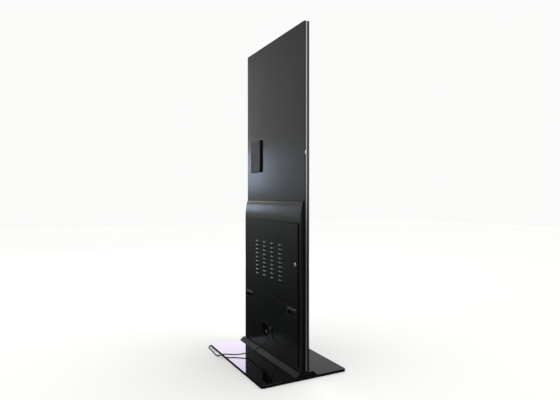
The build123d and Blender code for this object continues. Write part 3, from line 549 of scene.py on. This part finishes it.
def grown(name, tree, sizes, node, stands_for=(), points=()):
    """The plain mesh that a tree makes at these sizes, from points that each have a direction."""
    seeds = bpy.data.meshes.new(name + "_points")
    seeds.from_pydata([place for place, outward in points], [], [])
    facing = seeds.attributes.new("outward", "FLOAT_VECTOR", "POINT")
    for item, (place, outward) in zip(facing.data, points):
        item.vector = outward
    maker = bpy.data.objects.new(name + "_maker", seeds)
    bpy.context.scene.collection.objects.link(maker)
    grow = maker.modifiers.new("grow", "NODES")
    grow.node_group = tree
    for item in tree.interface.items_tree:
        if item.in_out == "INPUT" and item.name in sizes:
            grow[item.identifier] = sizes[item.name]
    graph = bpy.context.evaluated_depsgraph_get()
    mesh = bpy.data.meshes.new_from_object(maker.evaluated_get(graph), depsgraph=graph)
    maker.modifiers.remove(grow)
    bpy.data.objects.remove(maker)
    return placed(name, soften(mesh), None, node, stands_for)


# ---------------------------------------------------------------- settings


class KioskSettings(bpy.types.PropertyGroup):
    """The sizes and colours that can be changed in the panel."""
    floor_colour: bpy.props.FloatVectorProperty(
        name="Floor", description="Colour of the plain floor", subtype="COLOR", size=4,
        default=linear("#f3f3f2"))
    cord_diameter: bpy.props.FloatProperty(
        name="Lead diameter", description="Outer diameter of the mains lead", unit="LENGTH",
        default=7 * MM)
    hood_rise: bpy.props.FloatProperty(
        name="Louvre rise", description="How far each pressed louvre stands out of the door",
        unit="LENGTH", default=4 * MM)
    hood_height: bpy.props.FloatProperty(
        name="Louvre height", description="From a louvre's lower lip to where it runs out",
        unit="LENGTH", default=12.5 * MM)


# ---------------------------------------------------------------- stage

# Behind the kiosk, on its -X side, at half its height.
CAMERA_PLACE = (-2.4818, 1.2566, 0.9603)
CAMERA_TURN = (radians(90 - 0.2954), 0, radians(-118.063))
CAMERA_LENS = 29.826
CAMERA_SHIFT = (-0.0051, 0.0007)
# From the middle of the floor to each edge, in metres.
FLOOR_REACH = 14.0
# Colours of the studio by the sine of the height looked at, on the side of the kiosk's back and
# on the side of its front. They are soft grey above the horizon and darker below it.
BEHIND = [(-0.4, "#121614"), (-0.28, "#2c332f"), (-0.21, "#333b37"), (-0.13, "#626a66"),
          (-0.065, "#707674"), (-0.02, "#b0b2b2"), (0.03, "#c4c5c5"), (0.33, "#bcbcba"),
          (0.42, "#8c8c88"), (0.6, "#85837c")]
BEFORE = [(-0.4, "#5a5c5e"), (-0.2, "#585a5c"), (-0.12, "#4a4c4e"), (-0.03, "#66686b"),
          (0.01, "#c8c9cc"), (0.6, "#c8c8c6")]
# The side of the front takes over between these two Y parts of the direction looked in.
BEFORE_BELOW, BEHIND_ABOVE = -0.25, 0.15
# Soft boxes: name, place, target, width, height, watts and colour.
SOFT_BOXES = [
    ("far_window", (5.2, -1.7, 1.9), (0, 0, 0.0), 1.15, 1.05, 22, "#e6dcf2"),
    ("side_window", (5.85, 2.38, 1.5), (0.2, 0, 1.15), 0.55, 0.75, 6.5, "#c4d8f4"),
    ("side_fill", (6.25, 1.4, 2.5), (0.37, 0, 1.6), 1.1, 2.0, 13, "#f4f2ee"),
]


class KIOSK_OT_stage(bpy.types.Operator):
    """Makes the camera, the floor, the backdrop and the lights."""
    bl_idname = "kiosk.stage"
    bl_label = "Stage"

    def execute(self, context):
        self.camera(context.scene)
        self.floor(context.scene)
        self.surroundings(context.scene)
        self.lights(context.scene)
        return {"FINISHED"}

    def camera(self, scene):
        view = bpy.data.cameras.new("camera")
        view.lens = CAMERA_LENS
        view.shift_x, view.shift_y = CAMERA_SHIFT
        eye = bpy.data.objects.new("camera", view)
        eye.location = CAMERA_PLACE
        eye.rotation_euler = CAMERA_TURN
        scene.collection.objects.link(eye)
        scene.camera = eye

    def floor(self, scene):
        """A wide matt floor, which glossy pieces don't mirror."""
        corners = ((-1, -1), (1, -1), (1, 1), (-1, 1))
        mesh = bpy.data.meshes.new("floor")
        mesh.from_pydata([(x * FLOOR_REACH, y * FLOOR_REACH, 0) for x, y in corners],
                         [], [(0, 1, 2, 3)])
        ground = bpy.data.objects.new("floor", mesh)
        scene.collection.objects.link(ground)
        paint = bpy.data.materials.new("floor_paint")
        paint.use_nodes = True
        shader = paint.node_tree.nodes["Principled BSDF"]
        shader.inputs["Base Color"].default_value = scene.kiosk.floor_colour
        shader.inputs["Roughness"].default_value = 0.9
        mesh.materials.append(paint)
        ground.visible_glossy = False

    def by_height(self, tree, height, stops):
        """Colours that follow how high a direction points, from stops at sines of its height."""
        low, high = stops[0][0], stops[-1][0]
        share = add_node(tree, "ShaderNodeMapRange", {
            "Value": height, "From Min": low, "From Max": high})
        ramp = add_node(tree, "ShaderNodeValToRGB", {"Fac": share.outputs[0]})
        for sine, _ in stops[1:-1]:
            ramp.color_ramp.elements.new((sine - low) / (high - low))
        for element, (sine, colour) in zip(ramp.color_ramp.elements, stops):
            element.position = (sine - low) / (high - low)
            element.color = linear(colour)
        return ramp.outputs[0]

    def surroundings(self, scene):
        """A pale backdrop, and the studio that lights the kiosk and shows in its glossy faces."""
        world = bpy.data.worlds.new("studio")
        world.use_nodes = True
        tree = world.node_tree
        tree.nodes.clear()
        direction = add_node(tree, "ShaderNodeTexCoord").outputs["Generated"]
        apart = add_node(tree, "ShaderNodeSeparateXYZ", {0: direction})
        side = add_node(tree, "ShaderNodeMapRange", {
            "Value": apart.outputs[1], "From Min": BEFORE_BELOW, "From Max": BEHIND_ABOVE,
            "To Min": 1.0, "To Max": 0.0})
        around = mix_colours(tree, side.outputs[0],
                             self.by_height(tree, apart.outputs[2], BEHIND),
                             self.by_height(tree, apart.outputs[2], BEFORE))
        studio, backdrop = (
            add_node(tree, "ShaderNodeBackground", {"Color": colour, "Strength": 1.0})
            for colour in (around, linear("#fafaf9")))
        seen = add_node(tree, "ShaderNodeLightPath").outputs["Is Camera Ray"]
        shown = add_node(tree, "ShaderNodeMixShader", {0: seen, 1: studio.outputs[0],
                                                       2: backdrop.outputs[0]})
        add_node(tree, "ShaderNodeOutputWorld", {"Surface": shown.outputs[0]})
        scene.world = world
        scene.view_settings.view_transform = "Standard"

    def lights(self, scene):
        """One wide overhead light, and the soft boxes."""
        sky = bpy.data.lights.new("overhead", "SUN")
        sky.energy = 2.2
        sky.angle = radians(70)
        scene.collection.objects.link(bpy.data.objects.new("overhead", sky))
        for name, place, target, width, height, watts, colour in SOFT_BOXES:
            light = bpy.data.lights.new(name, "AREA")
            light.shape = "RECTANGLE"
            light.size = width
            light.size_y = height
            light.energy = watts
            light.color = linear(colour)[:3]
            lamp = bpy.data.objects.new(name, light)
            lamp.location = place
            aim = Vector(target) - Vector(place)
            lamp.rotation_euler = aim.to_track_quat("-Z", "Y").to_euler()
            lamp.visible_camera = False
            scene.collection.objects.link(lamp)


# ---------------------------------------------------------------- mains lead

# From the connector's relief, down over the plinth and the base, to the coil on the floor.
CORD_ROUTE = [
    (-0.014, 0.028, 0.147), (-0.014, 0.037, 0.1314), (-0.007, 0.053, 0.104), (0.006, 0.086, 0.079),
    (0.035, 0.110, 0.054), (0.065, 0.133, 0.033), (0.079, 0.172, 0.027), (0.096, 0.205, 0.024),
    (0.112, 0.235, 0.025), (0.138, 0.264, 0.025), (0.170, 0.284, 0.0055), (0.215, 0.288, 0.0035),
    (0.275, 0.282, 0.0035), (0.335, 0.281, 0.0035), (0.384, 0.272, 0.0035), (0.400, 0.232, 0.0035),
    (0.395, 0.180, 0.0035), (0.397, 0.110, 0.0035), (0.395, 0.040, 0.0035), (0.399, -0.022, 0.0035),
    (0.404, -0.070, 0.0035),
]
COIL_TURNS = 4
COIL_POINTS_PER_TURN = 16
# When the coil steps inwards, outwards and up onto its own lower turns, counted in turns.
STEP_IN, STEP_OUT, STEP_UP = (0.72, 0.92), (2.75, 3.0), (1.75, 1.98)


def smooth(value, low, high):
    """0 below low, 1 above high, and an easy curve between them."""
    t = min(1.0, max(0.0, (value - low) / (high - low)))
    return t * t * (3 - 2 * t)


def coil_points(diameter):
    """Four neat turns, two beside each other and two on top, as control points of the lead."""
    low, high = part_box("cord_coil")
    middle = (low + high) / 2
    outer = (high.x - low.x) / 2 - diameter / 2
    # The spline runs inside its control points on a circle, so these stand out by this share.
    spread = 4 / (3 + cos(2 * pi / COIL_POINTS_PER_TURN))
    points = []
    for k in range(COIL_TURNS * COIL_POINTS_PER_TURN + 1):
        turn = k / COIL_POINTS_PER_TURN
        inner = smooth(turn, *STEP_IN) - smooth(turn, *STEP_OUT)
        radius = (outer - diameter * inner) * spread
        raised = smooth(turn, *STEP_UP)
        angle = pi + 2 * pi * turn
        points.append((middle.x + radius * cos(angle), middle.y + radius * sin(angle),
                       diameter * (0.5 + raised)))
    return points


class KIOSK_OT_mains_lead(bpy.types.Operator):
    """Lays the mains lead from its connector to its coil and plug."""
    bl_idname = "kiosk.mains_lead"
    bl_label = "Mains lead"

    def execute(self, context):
        diameter = context.scene.kiosk.cord_diameter
        plug_low, plug_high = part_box("mains_plug")
        plug_x = (plug_low.x + plug_high.x) / 2
        plug_z = (plug_low.z + plug_high.z) / 2
        # Out of the top turn of the coil, and straight into the plug's relief.
        tail = [(plug_x + 0.0004, plug_high.y + 0.004, 0.0108),
                (plug_x, plug_high.y - 0.012, plug_z), (plug_x, plug_high.y - 0.024, plug_z)]
        points = CORD_ROUTE + coil_points(diameter)[1:] + tail
        line = bpy.data.curves.new("mains_lead", "CURVE")
        line.dimensions = "3D"
        line.bevel_depth = diameter / 2
        line.bevel_resolution = 5
        line.use_fill_caps = True
        spline = line.splines.new("NURBS")
        spline.points.add(len(points) - 1)
        for place, point in zip(points, spline.points):
            point.co = (*place, 1.0)
        spline.order_u = 3
        spline.use_endpoint_u = True
        spline.resolution_u = 8
        line.materials.append(finish(pvc_sheath))
        lead = bpy.data.objects.new("mains_lead", line)
        context.scene.collection.objects.link(lead)
        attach(lead, body_of("power_cord"))
        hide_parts("power_cord", "cord_coil")
        connector = self.connector()
        plug = self.plug()
        pins = eased("plug_pins", nickelled_brass, 0.25)
        return {"FINISHED"}

    def block(self, name, rings):
        """A moulded block along Y: each ring is its y, middle x and z, width, height and corner."""
        across, up = Vector((1, 0, 0)), Vector((0, 0, 1))
        return loft(name, [
            rounded_ring(Vector((x, y, z)), across, up, width, height, corner)
            for y, x, z, width, height, corner in rings])

    def connector(self):
        """The angled connector: a ribbed overmoulding, its nose in the inlet, and its relief."""
        low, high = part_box("power_connector")
        wide, tall = 30, 24.5
        middle = low.x + wide / 2 * MM
        front = low.y + 15.3 * MM
        top = high.z
        # How far from its front, and how deep the overmoulding is cut there: three grooves, then
        # the rounded back.
        rows = [(0.0, 0.8), (0.6, 0.0), (6.0, 0.0), (6.6, 0.7), (8.0, 0.7), (8.6, 0.0),
                (10.4, 0.0), (11.0, 0.7), (12.4, 0.7), (13.0, 0.0), (14.8, 0.0), (15.4, 0.7),
                (16.8, 0.7), (17.4, 0.0), (20.2, 0.0), (21.6, 0.7), (22.3, 1.6), (22.7, 2.9)]
        body = self.block("connector_body", [
            (front + y * MM, middle, top - tall / 2 * MM, (wide - 2 * cut) * MM,
             (tall - 2 * cut) * MM, (3.6 - min(cut, 0.9)) * MM) for y, cut in rows])
        nose = self.block("connector_nose", [
            (low.y + y * MM, middle, top - 12.5 * MM, across * MM, up * MM, 1.6 * MM)
            for y, across, up in ((0.0, 22.6, 14.8), (0.5, 23.6, 15.8), (15.8, 23.6, 15.8))])
        start, end = Vector((middle, 17 * MM, 166 * MM)), Vector(CORD_ROUTE[0])
        sleeve = loft("connector_relief", turned(
            start, end, ribbed((end - start).length, 6.5 * MM, 4.2 * MM, 6, 0.55 * MM)))
        whole = joined("mains_connector", [body, nose, sleeve])
        return placed("mains_connector", whole, pvc_sheath, "power_connector",
                      ["power_connector"])

    def plug(self):
        """The moulded plug: a waisted body with finger ridges, and a long ribbed relief."""
        low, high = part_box("mains_plug")
        x, z = (low.x + high.x) / 2, (low.z + high.z) / 2
        # How far from the face with the pins, and how deep the body is cut there.
        rows = [(0.0, 1.2), (0.8, 0.2), (2.0, 0.0), (9.0, 0.0), (11.0, 0.7), (13.0, 1.3),
                (14.5, 0.8), (16.0, 1.5), (17.5, 0.9), (19.0, 1.7), (20.5, 1.1), (22.0, 1.9),
                (23.5, 1.3), (25.0, 2.2), (27.0, 2.6), (31.0, 3.2), (35.0, 4.4), (37.2, 5.8),
                (38.0, 7.2)]
        body = self.block("plug_body", [
            (low.y + y * MM, x, z, (28 - 2 * cut) * MM, (23 - 1.6 * cut) * MM, 5.6 * MM)
            for y, cut in rows])
        start, end = Vector((x, low.y + 37 * MM, z)), Vector((x, high.y, z))
        sleeve = loft("plug_relief", turned(
            start, end, ribbed((end - start).length, 7.0 * MM, 4.0 * MM, 7, 0.45 * MM)))
        whole = joined("moulded_plug", [body, sleeve])
        return placed("moulded_plug", whole, pvc_sheath, "mains_plug", ["mains_plug"])


# ---------------------------------------------------------------- casework

# The middle of the grid of louvre openings, and each hood's lip above the middle of its opening.
LOUVRE_MIDDLE = (0.0186, 0.5805)
LOUVRE_LIP = 0.0022
# Head radius and height, shank radius and length in mm, and whether the screws face sideways.
SCREWS = {
    "back_cover_screws": (2.8, 1.2, 1.8, 5.5, False),
    "antenna_screws": (2.8, 1.0, 1.5, 10.0, False),
    "plinth_screws": (3.0, 1.5, 1.5, 3.0, True),
    "housing_screws": (3.4, 1.2, 1.6, 1.4, True),
}
# How much the edges of each piece that catches the light are eased, in mm.
EASED_EDGES = {
    "rear_housing": 0.7, "service_door": 0.6, "lower_panel": 0.6, "plinth_cover": 1.0,
    "pull_handle_left": 0.5, "pull_handle_right": 0.5, "inlet_box": 0.4, "antenna_cover": 0.5,
    "power_inlet": 0.4, "switch_housing": 0.4, "network_socket": 0.3,
}


class KIOSK_OT_casework(bpy.types.Operator):
    """Gives every piece its finish, and eases the edges that catch the light."""
    bl_idname = "kiosk.casework"
    bl_label = "Casework"

    def lock(self):
        """The lock's polished barrel: a rounded collar on the door, and its plain body behind."""
        low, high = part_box("lock_body")
        x, z = (low.x + high.x) / 2, (low.z + high.z) / 2
        # The bore's radius, and how far the collar stands out of the door, in mm.
        bore, collar = 6.56, 1.8
        face = (high.y - low.y) / MM
        door = face - collar
        profile = [(0.0, bore), (0.0, 9.3), (door - 1.6, 9.3), (door - 1.6, 9.5), (door, 9.5),
                   (door, 12.0), (face - 1.4, 11.8), (face - 1.05, 11.3), (face - 0.7, 10.5),
                   (face - 0.4, 9.5), (face - 0.18, 8.5), (face - 0.04, 7.6), (face, 7.1),
                   (face - 0.12, 6.75), (face - 0.9, bore)]
        start, end = Vector((x, low.y, z)), Vector((x, high.y, z))
        rings = turned(start, end, [(along * MM, radius * MM) for along, radius in profile], 48)
        barrel = loft("lock_barrel", rings, closed_ends=False)
        shape = bmesh.new()
        shape.from_mesh(barrel)
        bmesh.ops.bridge_loops(shape, edges=[e for e in shape.edges if e.is_boundary])
        bmesh.ops.recalc_face_normals(shape, faces=shape.faces)
        shape.to_mesh(barrel)
        shape.free()
        placed("lock_barrel", barrel, chrome_plate, "lock_body", ["lock_body"])

    def execute(self, context):
        self.lock()
        for make, nodes in FINISHES.items():
            for node in nodes:
                piece = frame["nodes"][node]
                piece.data.materials.clear()
                piece.data.materials.append(finish(make))
                if node in EASED_EDGES:
                    eased(node, make, EASED_EDGES[node])
        return {"FINISHED"}


class KIOSK_OT_louvres(bpy.types.Operator):
    """Presses a hood out of the service door above each of its openings."""
    bl_idname = "kiosk.louvres"
    bl_label = "Louvres"

    def execute(self, context):
        _, door_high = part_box("service_door")
        settings = context.scene.kiosk
        hoods = grown("louvre_hoods", louvre_tree(), {
            "Rise": settings.hood_rise, "Height": settings.hood_height, "Face": door_high.y,
            "Middle across": LOUVRE_MIDDLE[0], "Middle up": LOUVRE_MIDDLE[1] + LOUVRE_LIP},
            "service_door")
        wall = hoods.modifiers.new("wall", "SOLIDIFY")
        wall.thickness = 0.9 * MM
        wall.offset = -1
        return {"FINISHED"}


class KIOSK_OT_screws(bpy.types.Operator):
    """Puts a cross-recessed screw in every screw place of the casework."""
    bl_idname = "kiosk.screws"
    bl_label = "Screws"

    def execute(self, context):
        tree = screw_tree(black_oxide)
        for node, (radius, height, shank, length, sideways) in SCREWS.items():
            points = []
            for low, high in islands(node):
                place = [(a + b) / 2 for a, b in zip(low, high)]
                axis = 0 if sideways else 1
                sign = -1 if sideways and place[0] < 0 else 1
                place[axis] = high[axis] - height * MM if sign > 0 else low[axis] + height * MM
                points.append((place, tuple(sign if k == axis else 0 for k in range(3))))
            grown(node + "_crossed", tree, {
                "Head radius": radius * MM, "Head height": height * MM, "Shank radius": shank * MM,
                "Shank length": length * MM}, node, [node], points)
        return {"FINISHED"}


class KIOSK_PT_panel(bpy.types.Panel):
    """Lists the kiosk's sizes and pieces."""
    bl_idname = "KIOSK_PT_panel"
    bl_label = "Kiosk"
    bl_space_type = "VIEW_3D"
    bl_region_type = "UI"
    bl_category = "Kiosk"

    def draw(self, context):
        for name in ("floor_colour", "cord_diameter", "hood_rise", "hood_height"):
            self.layout.prop(context.scene.kiosk, name)
        for operator in OPERATORS:
            self.layout.operator(operator.bl_idname)


OPERATORS = [KIOSK_OT_stage, KIOSK_OT_mains_lead, KIOSK_OT_casework, KIOSK_OT_louvres,
             KIOSK_OT_screws]


def register():
    """Registers the add-on's classes and its settings."""
    for kind in [KioskSettings, *OPERATORS, KIOSK_PT_panel]:
        bpy.utils.register_class(kind)
    bpy.types.Scene.kiosk = bpy.props.PointerProperty(type=KioskSettings)


def unregister():
    """Takes them away again."""
    del bpy.types.Scene.kiosk
    for kind in reversed([KioskSettings, *OPERATORS, KIOSK_PT_panel]):
        bpy.utils.unregister_class(kind)


def main():
    """Builds the scene."""
    register()
    for operator in OPERATORS:
        group, name = operator.bl_idname.split(".")
        getattr(getattr(bpy.ops, group), name)()


if __name__ == "__main__":
    main()
